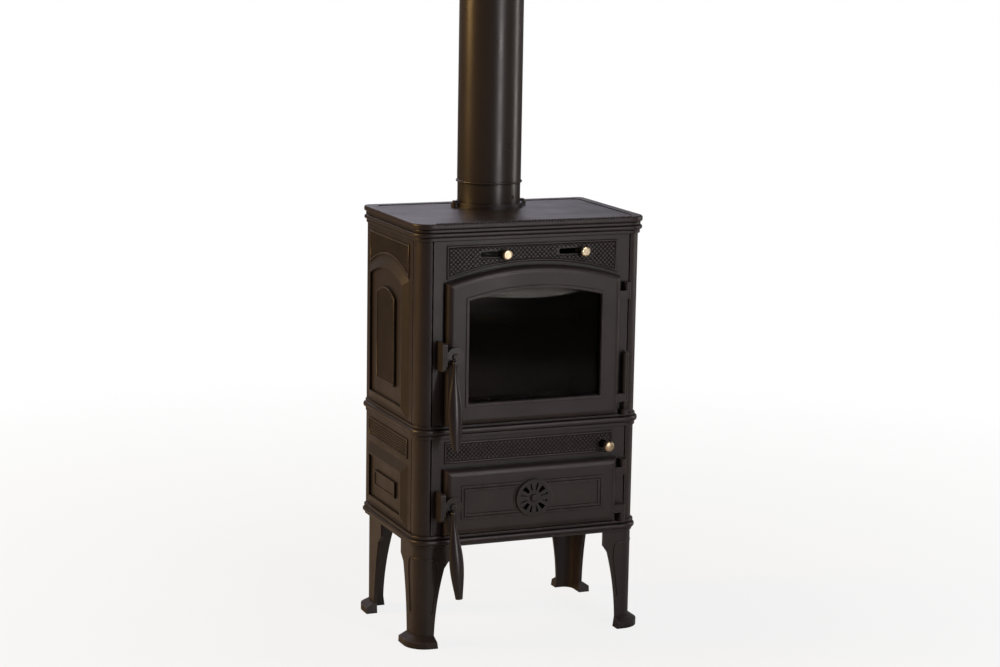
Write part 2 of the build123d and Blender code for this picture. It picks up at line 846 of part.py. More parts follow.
def make_shutter(side):
    x = stem_x(side)
    y0 = wall + shutter_gap
    face = Pos(x + shutter_length / 2 - slot_height, slot_z) * Rectangle(shutter_length, shutter_height)
    solid = slab(face, y0, y0 + shutter_thickness)
    return solid - bar(x, slot_z, y0, y0 + shutter_thickness, knob_stem)


def knob(x, z, reach, y_end, stem):
    head = bar(x, z, -reach - knob_length, -reach, knob_radius)
    head = fillet(head.faces().sort_by(Axis.Y)[0].edges(), 3.5)
    head = chamfer(head.faces().sort_by(Axis.Y)[-1].edges(), 3)
    return head + bar(x, z, -reach, y_end, stem)


def make_air_knob(side):
    end = wall + shutter_gap + shutter_thickness
    return knob(stem_x(side), slot_z, air_knob_reach - knob_length, end, knob_stem)


# Grate and riddling gear

def make_grate():
    x = grate_half - grate_gap
    y0 = grate_front + grate_gap
    y1 = grate_front + grate_depth - grate_gap
    z0 = floor_top - grate_thickness / 2
    solid = block(-x, x, y0, y1, z0, z0 + grate_thickness)
    pitch = 2 * (x - grate_ledge) / grate_slots
    for k in range(grate_slots):
        sx = (k - (grate_slots - 1) / 2) * pitch
        w = grate_slot_width / 2
        solid -= block(sx - w, sx + w, y0 + 3 * grate_ledge, y1 - 3 * grate_ledge, z0, z0 + grate_thickness)
    return solid


def make_riddling_plate():
    z1 = riddle_z + riddle_thickness
    y1 = riddle_front + riddle_depth
    solid = block(-riddle_half, riddle_half, riddle_front, y1, riddle_z, z1)
    pitch = 2 * (grate_half - grate_gap - grate_ledge) / grate_slots
    for k in range(grate_slots):
        sx = (k - (grate_slots - 1) / 2) * pitch
        w = grate_slot_width / 2
        solid -= block(sx - w, sx + w, riddle_front + 12, y1 - 12, riddle_z, z1)
    return solid


def make_riddling_rod():
    foot_x = riddle_half - 2 * rod_radius
    solid = bar(rod_x, rod_z, -riddle_knob_reach, rod_end, rod_radius)
    solid += Pos(rod_x, rod_end, rod_z) * Sphere(rod_radius)
    solid += Pos((rod_x + foot_x) / 2, rod_end, rod_z) * Rot(Y=90) * Cylinder(rod_radius, rod_x - foot_x)
    solid += Pos(foot_x, rod_end, rod_z) * Sphere(rod_radius)
    return solid + post(foot_x, rod_end, rod_z, riddle_z, rod_radius)


def make_riddling_knob():
    reach = riddle_knob_reach
    solid = knob(rod_x, rod_z, reach - knob_length / 2, 1 - reach + knob_length / 2, rod_radius + 2)
    return solid - bar(rod_x, rod_z, -reach, wall, rod_radius)


# Firebox lining

def make_side_liner():
    y1 = back_inner - liner_thickness
    top = floor_top + liner_height
    return block(inner_half - liner_thickness, inner_half, liner_front, y1, floor_top, top)


def make_rear_liner():
    x = inner_half - liner_thickness
    return block(-x, x, back_inner - liner_thickness, back_inner, floor_top, floor_top + liner_height)


def make_baffle():
    z = floor_top + liner_height
    x = inner_half - guide_wall
    y1 = back_inner - liner_thickness
    return block(-x, x, baffle_front, y1, z, z + baffle_thickness)


def make_retainer():
    solid = block(-retainer_half, retainer_half, wall, 2 * wall, floor_top, floor_top + retainer_height)
    pitch = 2 * retainer_half / (retainer_slots + 1)
    for k in range(retainer_slots):
        x = (k - (retainer_slots - 1) / 2) * pitch
        w = retainer_slot / 2
        z0 = floor_top + retainer_height / 3
        solid -= block(x - w, x + w, wall, 2 * wall, z0, floor_top + 0.8 * retainer_height)
    return solid


def make_ash_pan():
    y1 = pan_front + pan_depth
    top = runner_top + pan_height
    solid = block(-pan_half, pan_half, pan_front, y1, runner_top, top)
    w = pan_wall
    solid -= block(w - pan_half, pan_half - w, pan_front + w, y1 - w, runner_top + w, top)
    z = top - pull_drop
    y = pan_front - pull_reach
    pull = block(-pull_half, pull_half, y, pan_front, z, z + w)
    return solid + pull + block(-pull_half, pull_half, y, y + w, z - pull_lip, z + w)


# Flue

def make_collar():
    top = plate_z + collar_flange
    solid = post(0, flue_y, plate_z, top, collar_radius)
    for side in (-1, 1):
        solid += post(side * collar_lug, flue_y, plate_z, top, collar_lug_radius)
        solid -= post(side * collar_lug, flue_y, plate_z, top, collar_bolt)
    solid += post(0, flue_y, top, top + collar_spigot, flue_bore + collar_wall)
    return solid - post(0, flue_y, plate_z, top + collar_spigot, flue_bore)


def make_collar_bolts():
    top = plate_z + collar_flange
    solids = []
    for side in (-1, 1):
        x = side * collar_lug
        shank = post(x, flue_y, plate_z - top_thickness - nut_height, top, collar_bolt)
        solids.append(shank + post(x, flue_y, top, top + 4, 2 * collar_bolt))
    return solids


def make_adapter():
    """Lower sleeve over the collar, with a bead that carries the pipe and a spigot inside it."""
    z0 = plate_z + collar_flange
    z1 = z0 + adapter_height
    z2 = z1 + bead_height
    inner = adapter_radius - pipe_wall
    spigot = pipe_bore - spigot_gap
    solid = post(0, flue_y, z0, z2, adapter_radius)
    rim = post(0, flue_y, z1, z2, pipe_bore + pipe_wall + bead_reach)
    solid += fillet(rim.edges().filter_by(GeomType.CIRCLE), bead_height / 2 - 0.1)
    solid += post(0, flue_y, z2, z2 + spigot_height, spigot)
    solid -= post(0, flue_y, z0, z1, inner)
    return solid - post(0, flue_y, z1, z2 + spigot_height, spigot - pipe_wall)


def make_pipe():
    """Plain pipe whose top end is widened into a socket for the next section."""
    z0 = plate_z + collar_flange + adapter_height + bead_height
    z1 = z0 + pipe_length
    z_socket = z1 - socket_depth
    outer = pipe_bore + pipe_wall
    solid = post(0, flue_y, z0, z1, outer)
    solid += post(0, flue_y, z_socket - socket_shoulder, z1, outer + socket_gap + pipe_wall)
    solid -= post(0, flue_y, z0, z_socket, pipe_bore)
    return solid - post(0, flue_y, z_socket, z1, outer + socket_gap)


# Legs and fasteners

def leg_profile(top_width, shoulder, ankle):
    """Upright outline of one leg flange, measured in from the body's corner."""
    z1 = leg_height - collar_height
    z2 = z1 - collar_height / 2
    out = -foot_reach - 1
    foot = Polyline((shoulder, z2), (top_width - 2, z1 - 2), (top_width, z1), (top_width, leg_height))
    back = Polyline((top_width, leg_height), (out, leg_height), (out, 0), (ankle + 3, 0), (ankle, foot_height))
    curve_z = (foot_height + z2) / 2
    curve = ThreePointArc((ankle, foot_height), (ankle + 0.3 * (shoulder - ankle), curve_z), (shoulder, z2))
    return Face(Wire(foot.edges() + back.edges() + curve.edges()))


def make_leg():
    """Front left leg: two flanges round the corner, a flared foot and a tab for the bolt."""
    size = leg_side_top + foot_reach
    corner = Pos(-half - foot_reach + size / 2, -foot_reach + size / 2) * Rectangle(size, size)
    solid = prism((plan(0.0) - plan(-wall)) & corner, 0, leg_height)
    foot = prism(plan(foot_reach) - plan(-wall), 0, foot_height)
    outer = foot.faces().sort_by(Axis.Z)[-1].outer_wire().edges()
    foot = chamfer(outer, foot_slope, foot_reach - 1)
    solid += foot & prism(corner, 0, foot_height)
    front = Pos(-half, 0) * leg_profile(leg_front_top, leg_front_shoulder, leg_front_ankle)
    side = leg_profile(leg_side_top, leg_side_shoulder, leg_side_ankle)
    solid &= slab(front, -foot_reach, leg_side_top)
    solid &= side_slab(side, -half - foot_reach, leg_front_top - half)
    tab = block(-inner_half, leg_tab_width - inner_half, wall, leg_tab_width, leg_height - leg_tab, leg_height)
    solid += tab & prism(plan(-wall / 2), 0, leg_height)
    return solid - post(-leg_bolt_x, leg_bolt_places()[0], 0, leg_height, leg_bolt)


def leg_bolt_places():
    y = wall + leg_tab_width - leg_bolt_edge
    return [y, body_depth - y]


def make_leg_bolts():
    solids = []
    z0 = leg_height - leg_tab
    for y in leg_bolt_places():
        bolt = post(leg_bolt_x, y, z0, leg_height + leg_bolt_bite, leg_bolt)
        bolt += Pos(leg_bolt_x, y, z0) * extrude(RegularPolygon(1.7 * leg_bolt, 6), -leg_bolt_head)
        solids += both_sides(bolt)
    return solids


def make_tie_rods():
    low = lower_z - floor_thickness - nut_height
    high = cornice_z + wall + nut_height
    solids = []
    for x, y in tie_places:
        rod = post(x, y, low, high, rod_tie)
        rod += Pos(x, y, low) * extrude(RegularPolygon(nut_radius, 6), nut_height)
        rod += Pos(x, y, high - nut_height) * extrude(RegularPolygon(nut_radius, 6), nut_height)
        solids += both_sides(rod)
    return solids


# Values that several pieces share
flue_bore = pipe_bore - pipe_wall - collar_wall
leg_bolt_x = inner_half - leg_tab_width + leg_bolt_edge
keeper_x = latch_x - claw_reach - keeper_gap - keeper_wall
shutter_length = slot_length + slot_height
rosette_z = ash_door_z + ash_door_height / 2

left = Plane.YZ
leg = make_leg()
rear_leg = Pos(0, body_depth, 0) * mirror(leg, Plane.XZ)
upper_side = make_upper_side()
lower_side = make_lower_side()
side_liner = make_side_liner()
upper_post = make_corner_post(upper_z, cornice_z)
lower_post = make_corner_post(lower_z, mid_z)

nodes = {
    "base_frame": make_base_frame(),
    "mid_frame": make_mid_frame(),
    "cornice_frame": make_cornice_frame(),
    "top_plate": make_top_plate(),
    "upper_front_frame": make_upper_front(),
    "lower_front_frame": make_lower_front(),
    "upper_left_side": mirror(upper_side, left),
    "upper_right_side": upper_side,
    "lower_left_side": mirror(lower_side, left),
    "lower_right_side": lower_side,
    "upper_back_panel": make_back_panel(upper_z, cornice_z),
    "lower_back_panel": make_back_panel(lower_z, mid_z),
    "upper_left_post": upper_post,
    "upper_right_post": mirror(upper_post, left),
    "lower_left_post": lower_post,
    "lower_right_post": mirror(lower_post, left),
    "front_left_leg": leg,
    "front_right_leg": mirror(leg, left),
    "rear_left_leg": rear_leg,
    "rear_right_leg": mirror(rear_leg, left),
    "leg_bolts": make_leg_bolts(),
    "tie_rods": make_tie_rods(),
    "flue_collar": make_collar(),
    "flue_collar_bolts": make_collar_bolts(),
    "flue_adapter": make_adapter(),
    "flue_pipe": make_pipe(),
    "left_liner": mirror(side_liner, left),
    "right_liner": side_liner,
    "rear_liner": make_rear_liner(),
    "baffle_plate": make_baffle(),
    "log_retainer": make_retainer(),
    "fire_grate": make_grate(),
    "shutter_guide": make_guide(),
    "fire_door_keeper": make_keeper(fire_latch_z),
    "ash_door_keeper": make_keeper(ash_latch_z),
    "keeper_screws": make_keeper_screws(),
    "fire_door_upper_pin": make_fire_upper_pin(),
    "fire_door_lower_pin": make_fire_lower_pin(),
    "ash_door_pins": make_ash_pins(),
    "fire_door": make_fire_door(),
    "fire_door_rope": make_rope(fire_outline),
    "door_glass": make_glass(),
    "glass_gasket": make_gasket(),
    "glass_clips": make_clips(),
    "glass_clip_screws": make_clip_screws(),
    "air_deflector": make_deflector(),
    "fire_door_handle": make_handle(fire_latch_z, fire_grip_turn),
    "fire_door_latch_bolt": make_latch_bolt(fire_latch_z),
    "ash_door": make_ash_door(),
    "ash_door_rope": make_rope(ash_outline),
    "ash_door_handle": make_handle(ash_latch_z, ash_grip_turn),
    "ash_door_latch_bolt": make_latch_bolt(ash_latch_z),
    "air_rosette": make_rosette(),
    "rosette_bolt": make_rosette_bolt(),
    "left_air_shutter": make_shutter(-1),
    "left_air_knob": make_air_knob(-1),
    "right_air_shutter": make_shutter(1),
    "right_air_knob": make_air_knob(1),
    "riddling_gear": [make_riddling_rod(), make_riddling_knob(), make_riddling_plate()],
    "ash_pan": make_ash_pan(),
}

# The row's origin is on the floor, under the middle of the overall depth
front_end = -grip_reach
rear_end = body_depth + top_bands[-1][1]
to_origin = Pos(0, -(front_end + rear_end) / 2, 0)
for name, shape in nodes.items():
    solids = shape if isinstance(shape, list) else [shape]
    placed = [to_origin * solid for solid in solids]
    export_step(Compound(children=placed), "parts/" + name + ".step")
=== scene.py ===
import bmesh
import bpy
import math
from mathutils import Matrix, Vector


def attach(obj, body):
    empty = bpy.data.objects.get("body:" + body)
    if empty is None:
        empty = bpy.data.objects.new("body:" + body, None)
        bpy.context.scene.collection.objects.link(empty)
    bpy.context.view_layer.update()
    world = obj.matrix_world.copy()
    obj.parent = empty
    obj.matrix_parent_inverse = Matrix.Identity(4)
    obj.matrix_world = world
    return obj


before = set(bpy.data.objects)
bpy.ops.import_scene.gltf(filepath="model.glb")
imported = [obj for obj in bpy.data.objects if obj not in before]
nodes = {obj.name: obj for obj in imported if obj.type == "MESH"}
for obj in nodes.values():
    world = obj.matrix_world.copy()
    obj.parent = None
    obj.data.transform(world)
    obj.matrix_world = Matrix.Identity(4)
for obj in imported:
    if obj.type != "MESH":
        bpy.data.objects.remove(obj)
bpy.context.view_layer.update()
scene = bpy.context.scene

# Viewpoint. The stove is seen from nearly five metres away, 22 degrees to the left of its front and a
# little above its top plate, through a long lens that keeps its uprights almost parallel.
yaw = math.radians(22.48)
pitch = math.radians(10.37)
roll = math.radians(-0.97)
sight = Vector((math.sin(yaw) * math.cos(pitch), math.cos(yaw) * math.cos(pitch), -math.sin(pitch)))
level = Vector((math.cos(yaw), -math.sin(yaw), 0))
right = math.cos(roll) * level + math.sin(roll) * sight.cross(level)
upward = right.cross(sight)
camera = bpy.data.cameras.new("viewpoint")
camera.sensor_width = 36
camera.lens = 36 * 2411 / 1000
camera.clip_end = 60
eye = bpy.data.objects.new("viewpoint", camera)
turned = Matrix((right, upward, -sight)).transposed().to_4x4()
eye.matrix_world = Matrix.Translation((-1.898, -4.547, 1.518)) @ turned
scene.collection.objects.link(eye)
scene.camera = eye
scene.view_settings.view_transform = "Standard"


# Floor and room. A pale floor takes the stove's shadow. The room is white to the camera alone, and dim to
# whatever mirrors it, dimmest in front. A wide window and a narrow strip of light stand in front, a warm
# window on the left, a small one on the right and a wide one with sky behind.
def new_material(name, roughness, metallic=0.0):
    material = bpy.data.materials.new(name)
    material.use_nodes = True
    shader = material.node_tree.nodes["Principled BSDF"]
    shader.inputs["Roughness"].default_value = roughness
    shader.inputs["Metallic"].default_value = metallic
    return material, material.node_tree, shader


def add_node(tree, kind, settings=None, **links):
    """A shader node with its settings, and sockets given by name as a value or as another node's output."""
    node = tree.nodes.new(kind)
    for key, value in (settings or {}).items():
        setattr(node, key, value)
    for key, value in links.items():
        place = int(key[1:]) if key[0] == "i" and key[1:].isdigit() else key.replace("_", " ")
        socket = node.inputs[place]
        if isinstance(value, bpy.types.NodeSocket):
            tree.links.new(value, socket)
        else:
            socket.default_value = value
    return node


def new_mesh(name, bm, material, body, smooth=False):
    mesh = bpy.data.meshes.new(name)
    bm.to_mesh(mesh)
    bm.free()
    for polygon in mesh.polygons:
        polygon.use_smooth = smooth
    mesh.materials.append(material)
    piece = bpy.data.objects.new(name, mesh)
    scene.collection.objects.link(piece)
    if body:
        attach(piece, body)
    return piece


floor_finish, tree, shader = new_material("pale_floor", 0.8)
shader.inputs["Base Color"].default_value = (0.52, 0.51, 0.50, 1)
shader.inputs["Specular IOR Level"].default_value = 0.2
path = add_node(tree, "ShaderNodeLightPath")
spot = add_node(tree, "ShaderNodeTexCoord")
away = add_node(tree, "ShaderNodeVectorMath", {"operation": "LENGTH"}, i0=spot.outputs["Object"])
fade = add_node(tree, "ShaderNodeMapRange", i0=away.outputs["Value"], i1=0.5, i2=2.6, i3=0.84, i4=1.0)
seen = add_node(
    tree, "ShaderNodeMath", {"operation": "MULTIPLY"}, i0=path.outputs["Is Camera Ray"], i1=fade.outputs[0]
)
white = add_node(tree, "ShaderNodeEmission", Color=(1, 1, 1, 1), Strength=1.0)
blend = add_node(tree, "ShaderNodeMixShader", Fac=seen.outputs[0], i1=shader.outputs[0], i2=white.outputs[0])
tree.links.new(blend.outputs[0], tree.nodes["Material Output"].inputs["Surface"])
bm = bmesh.new()
bmesh.ops.create_grid(bm, x_segments=1, y_segments=1, size=14)
floor = new_mesh("floor", bm, floor_finish, None)

room = bpy.data.worlds.new("room")
room.use_nodes = True
scene.world = room
tree = room.node_tree
surround = tree.nodes["Background"]
surround.inputs["Color"].default_value = (0.90, 0.87, 0.88, 1)
toward = add_node(tree, "ShaderNodeTexCoord")
axes = add_node(tree, "ShaderNodeSeparateXYZ", Vector=toward.outputs["Generated"])
dusk = add_node(tree, "ShaderNodeMapRange", i0=axes.outputs["Y"], i1=-0.7, i2=0.5, i3=0.045, i4=0.20)
tree.links.new(dusk.outputs[0], surround.inputs["Strength"])
path = add_node(tree, "ShaderNodeLightPath")
backdrop = add_node(tree, "ShaderNodeBackground", Color=(1, 1, 1, 1), Strength=1.0)
blend = add_node(tree, "ShaderNodeMixShader", Fac=path.outputs["Is Camera Ray"])
tree.links.new(surround.outputs[0], blend.inputs[1])
tree.links.new(backdrop.outputs[0], blend.inputs[2])
tree.links.new(blend.outputs[0], tree.nodes["World Output"].inputs["Surface"])


def add_lamp(name, place, aim, width, height, power, colour):
    lamp = bpy.data.lights.new(name, "AREA")
    lamp.shape = "RECTANGLE"
    lamp.size = width
    lamp.size_y = height
    lamp.energy = power
    lamp.color = colour
    holder = bpy.data.objects.new(name, lamp)
    gaze = Vector(aim) - Vector(place)
    holder.matrix_world = Matrix.Translation(place) @ gaze.to_track_quat("-Z", "Y").to_matrix().to_4x4()
    scene.collection.objects.link(holder)


add_lamp("front_window", (0.9, -3.2, 3.0), (0, 0, 0.6), 1.8, 1.4, 44, (1.0, 0.86, 0.85))
add_lamp("front_strip", (0.8, -3.1, 1.0), (0, 0, 0.9), 0.22, 1.5, 26, (1.0, 0.97, 0.96))
add_lamp("left_window", (-3.0, 0.9, 1.9), (0, 0, 0.6), 1.0, 1.4, 92, (1.0, 0.60, 0.22))
add_lamp("right_window", (2.6, -0.2, 1.2), (0, 0, 0.6), 0.4, 1.8, 15, (1.0, 0.93, 0.86))
add_lamp("sky_window", (0.4, 3.2, 2.6), (0, 0, 0.8), 2.6, 1.4, 25, (0.86, 0.82, 0.98))


# Effects shared by the finishes. The first gives the skin of a sand casting or of a dull coating its
# mottling and grain. The second finds the edges and paints them lighter, partly where hands, pans and the
# poker have rubbed it bright and partly as a painted highlight, and the third paints the sheltered corners
# darker as painted shade.
def new_group(name, inputs, outputs):
    group = bpy.data.node_groups.new(name, "ShaderNodeTree")
    for label, kind in inputs:
        group.interface.new_socket(label, in_out="INPUT", socket_type=kind)
    for label, kind in outputs:
        group.interface.new_socket(label, in_out="OUTPUT", socket_type=kind)
    return group, group.nodes.new("NodeGroupInput"), group.nodes.new("NodeGroupOutput")


surface_skin, taken, given = new_group(
    "surface_skin",
    [("Grain", "NodeSocketFloat"), ("Dark", "NodeSocketColor"), ("Light", "NodeSocketColor"),
     ("Dull", "NodeSocketFloat"), ("Sheen", "NodeSocketFloat")],
    [("Color", "NodeSocketColor"), ("Roughness", "NodeSocketFloat"), ("Height", "NodeSocketFloat")],
)
spot = add_node(surface_skin, "ShaderNodeTexCoord")
fine = add_node(surface_skin, "ShaderNodeTexNoise", Vector=spot.outputs["Object"], Detail=4.0, Roughness=0.65)
surface_skin.links.new(taken.outputs["Grain"], fine.inputs["Scale"])
broad = add_node(surface_skin, "ShaderNodeTexNoise", Vector=spot.outputs["Object"], Scale=14.0, Detail=5.0)
pits = add_node(surface_skin, "ShaderNodeTexVoronoi", Vector=spot.outputs["Object"], Randomness=1.0)
surface_skin.links.new(taken.outputs["Grain"], pits.inputs["Scale"])
pit_depth = add_node(surface_skin, "ShaderNodeMapRange", Value=pits.outputs["Distance"], From_Max=0.45)
stain = add_node(surface_skin, "ShaderNodeMapRange", Value=broad.outputs["Fac"], From_Min=0.3, From_Max=0.72)
speck = add_node(
    surface_skin, "ShaderNodeMath", {"operation": "MULTIPLY_ADD"}, i0=fine.outputs["Fac"], i1=0.55, i2=-0.1
)
tone = add_node(surface_skin, "ShaderNodeMath", {"operation": "MULTIPLY_ADD", "use_clamp": True})
surface_skin.links.new(stain.outputs["Result"], tone.inputs[0])
tone.inputs[1].default_value = 0.6
surface_skin.links.new(speck.outputs[0], tone.inputs[2])
colour = add_node(surface_skin, "ShaderNodeMix", {"data_type": "RGBA"}, Factor=tone.outputs[0])
surface_skin.links.new(taken.outputs["Dark"], colour.inputs[6])
surface_skin.links.new(taken.outputs["Light"], colour.inputs[7])
polish = add_node(surface_skin, "ShaderNodeMapRange", Value=broad.outputs["Fac"], From_Min=0.25, From_Max=0.75)
surface_skin.links.new(taken.outputs["Dull"], polish.inputs["To Min"])
surface_skin.links.new(taken.outputs["Sheen"], polish.inputs["To Max"])
relief = add_node(
    surface_skin, "ShaderNodeMath", {"operation": "MULTIPLY_ADD"}, i0=pit_depth.outputs["Result"], i1=0.5
)
surface_skin.links.new(fine.outputs["Fac"], relief.inputs[2])
surface_skin.links.new(colour.outputs[2], given.inputs["Color"])
surface_skin.links.new(polish.outputs["Result"], given.inputs["Roughness"])
surface_skin.links.new(relief.outputs[0], given.inputs["Height"])

# Edges found by the bevel normal are painted lighter: partly rubbed wear, partly a painted highlight.
rubbed_and_highlit_edge, taken, given = new_group(
    "rubbed_and_highlit_edge", [("Width", "NodeSocketFloat")], [("Mask", "NodeSocketFloat")]
)
softened = add_node(rubbed_and_highlit_edge, "ShaderNodeBevel", {"samples": 4})
rubbed_and_highlit_edge.links.new(taken.outputs["Width"], softened.inputs["Radius"])
facing = add_node(rubbed_and_highlit_edge, "ShaderNodeNewGeometry")
match = add_node(rubbed_and_highlit_edge, "ShaderNodeVectorMath", {"operation": "DOT_PRODUCT"})
rubbed_and_highlit_edge.links.new(softened.outputs["Normal"], match.inputs[0])
rubbed_and_highlit_edge.links.new(facing.outputs["Normal"], match.inputs[1])
worn_and_lit = add_node(rubbed_and_highlit_edge, "ShaderNodeMapRange", Value=match.outputs["Value"], From_Min=0.985, From_Max=0.86)
spot = add_node(rubbed_and_highlit_edge, "ShaderNodeTexCoord")
broken = add_node(rubbed_and_highlit_edge, "ShaderNodeTexNoise", Vector=spot.outputs["Object"], Scale=70.0, Detail=3.0)
patch = add_node(rubbed_and_highlit_edge, "ShaderNodeMapRange", Value=broken.outputs["Fac"], From_Min=0.35, From_Max=0.65)
mask = add_node(
    rubbed_and_highlit_edge, "ShaderNodeMath", {"operation": "MULTIPLY"}, i0=worn_and_lit.outputs["Result"],
    i1=patch.outputs["Result"],
)
rubbed_and_highlit_edge.links.new(mask.outputs[0], given.inputs["Mask"])

# Painted shade: ambient occlusion finds sheltered corners and grooves, which the finishes paint near black.
painted_groove_shade, taken, given = new_group(
    "painted_groove_shade", [("Reach", "NodeSocketFloat")], [("Mask", "NodeSocketFloat")]
)
shelter = add_node(painted_groove_shade, "ShaderNodeAmbientOcclusion", {"samples": 6})
painted_groove_shade.links.new(taken.outputs["Reach"], shelter.inputs["Distance"])
buried = add_node(
    painted_groove_shade, "ShaderNodeMapRange", i0=shelter.outputs["AO"], i1=0.45, i2=0.97, i3=0.95, i4=0.0
)
painted_groove_shade.links.new(buried.outputs[0], given.inputs["Mask"])


# How far the lighter edge reaches, which is partly rubbed wear and partly a painted highlight.
rub_and_highlight_width = 0.0015
# Reach and colour of the painted shade laid into sheltered corners.
groove_shade_reach = 0.007
groove_shade_colour = (0.0035, 0.0028, 0.0028, 1)


def coated(name, dark, light, dull, sheen, grain, depth, rub_and_highlight=None, metallic=0.0):
    """A finish made of the shared effects, with its own colours, grain and gloss."""
    material, tree, shader = new_material(name, dull, metallic)
    skin = add_node(tree, "ShaderNodeGroup", {"node_tree": surface_skin})
    skin.inputs["Grain"].default_value = grain
    skin.inputs["Dark"].default_value = dark + (1,)
    skin.inputs["Light"].default_value = light + (1,)
    skin.inputs["Dull"].default_value = dull
    skin.inputs["Sheen"].default_value = sheen
    tree.links.new(skin.outputs["Roughness"], shader.inputs["Roughness"])
    shader.inputs["Specular IOR Level"].default_value = 0.4
    # Edges are painted lighter, partly wear and partly painted highlight, then sheltered corners near black as
    # painted shade.
    if rub_and_highlight:
        edge = add_node(tree, "ShaderNodeGroup", {"node_tree": rubbed_and_highlit_edge}, Width=rub_and_highlight_width)
        mixed = add_node(tree, "ShaderNodeMix", {"data_type": "RGBA"}, Factor=edge.outputs["Mask"])
        tree.links.new(skin.outputs["Color"], mixed.inputs[6])
        mixed.inputs[7].default_value = rub_and_highlight + (1,)
        groove = add_node(tree, "ShaderNodeGroup", {"node_tree": painted_groove_shade}, Reach=groove_shade_reach)
        shaded = add_node(tree, "ShaderNodeMix", {"data_type": "RGBA"}, Factor=groove.outputs["Mask"])
        tree.links.new(mixed.outputs[2], shaded.inputs[6])
        shaded.inputs[7].default_value = groove_shade_colour
        tree.links.new(shaded.outputs[2], shader.inputs["Base Color"])
    else:
        tree.links.new(skin.outputs["Color"], shader.inputs["Base Color"])
    bump = add_node(tree, "ShaderNodeBump", Height=skin.outputs["Height"], Strength=0.6, Distance=depth)
    tree.links.new(bump.outputs["Normal"], shader.inputs["Normal"])
    return material


def finish(material, *names):
    """Gives CAD pieces their finish."""
    for name in names:
        for place in nodes[name].material_slots:
            place.material = material


# Outer castings. Grey iron cast in sand, fettled and sprayed with matt stove black, so its skin is fine
# grained and brownish where the light grazes it. Its edges are painted lighter, partly rubbed wear and partly
# painted highlight, and its grooves are painted near black as painted shade.
cast_iron = coated(
    "sand_cast_iron", (0.0115, 0.0084, 0.0086), (0.026, 0.0192, 0.0195), 0.46, 0.33, 700, 0.00025,
    (0.13, 0.10, 0.095),
)
finish(
    cast_iron, "base_frame", "mid_frame", "cornice_frame", "top_plate", "upper_front_frame",
    "lower_front_frame", "upper_left_side", "upper_right_side", "lower_left_side", "lower_right_side",
    "upper_back_panel", "lower_back_panel", "upper_left_post", "upper_right_post", "lower_left_post",
    "lower_right_post", "front_left_leg", "front_right_leg", "rear_left_leg", "rear_right_leg",
    "flue_collar", "fire_door", "ash_door",
)


# Leg ornament. Each front leg has a raised line that runs up its front, round the corner under the collar
# and down its side, cast with the leg. The line is a half-round bead laid on the leg's own surface.
def laid_bead(name, node, starts, aims, radius):
    """A bead along the points where lines from starts towards aims meet the node's surface."""
    target = nodes[node]
    curve = bpy.data.curves.new(name, "CURVE")
    curve.dimensions = "3D"
    curve.bevel_depth = radius
    curve.bevel_resolution = 2
    curve.use_fill_caps = True
    hits = []
    for start, aim in zip(starts, aims):
        struck, point = target.ray_cast(start, (aim - start).normalized())[:2]
        if struck:
            hits.append(point)
    spline = curve.splines.new("POLY")
    spline.points.add(len(hits) - 1)
    for place, point in zip(spline.points, hits):
        place.co = (*point, 1)
    carrier = bpy.data.objects.new(name, curve)
    mesh = bpy.data.meshes.new_from_object(carrier)
    bpy.data.objects.remove(carrier)
    for polygon in mesh.polygons:
        polygon.use_smooth = True
    mesh.materials.clear()
    mesh.materials.append(cast_iron)
    piece = bpy.data.objects.new(name, mesh)
    scene.collection.objects.link(piece)
    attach(piece, "stove")


leg_line_top = 0.184
leg_line_foot = 0.068
leg_line_radius = 0.0019
leg_line_steps = 60
leg_axis_x = 0.208
leg_axis_y = -0.093
leg_lean = 0.016
for side, node in ((-1, "front_left_leg"), (1, "front_right_leg")):
    starts = []
    aims = []
    for step in range(leg_line_steps + 1):
        share = step / leg_line_steps
        turn = math.pi * (share - 0.5)
        reach = math.copysign(abs(math.sin(turn)) ** 0.35, math.sin(turn))
        height = leg_line_foot + (leg_line_top - leg_line_foot) * abs(math.cos(turn)) ** 0.28
        around = math.radians(45 + 45 * reach)
        lean = leg_lean * (height - leg_line_foot) / (leg_line_top - leg_line_foot)
        axis = Vector((side * (leg_axis_x - lean), leg_axis_y + lean, height))
        spread = 0.1 * Vector((side * math.cos(around), -math.sin(around), 0))
        starts.append(axis + 3 * spread)
        aims.append(axis)
    laid_bead(node + "_line", node, starts, aims, leg_line_radius)


# Front fields. The panels over both doors are cast with rows of small raised diamonds in a half-round
# bead. Cells at the edge of a field are cut off by its bead. The cell tops and the beads are painted lighter
# than the casting round them as a painted highlight, and the cell flanks near black as painted shade.
front_face = -0.128
bead = 0.0035
# Cast iron painted lighter for raised cell tops and beads, a painted highlight; the second finish paints
# flanks and bead feet near black, painted shade.
highlit_pattern_iron = coated(
    "highlit_patterned_cast_iron", (0.020, 0.0150, 0.0150), (0.042, 0.032, 0.032), 0.46, 0.34, 700, 0.00015
)
groove_shade = coated("groove_shade", (0.0030, 0.0024, 0.0024), (0.008, 0.0062, 0.0062), 0.9, 0.75, 900, 0.0002)


def turn_outward(bm, place):
    """Turns all faces so that they look away from the casting."""
    bmesh.ops.recalc_face_normals(bm, faces=bm.faces)
    outward = place(0, 0, 1) - place(0, 0, 0)
    if sum(face.normal.dot(outward) * face.calc_area() for face in bm.faces) < 0:
        bmesh.ops.reverse_faces(bm, faces=bm.faces)


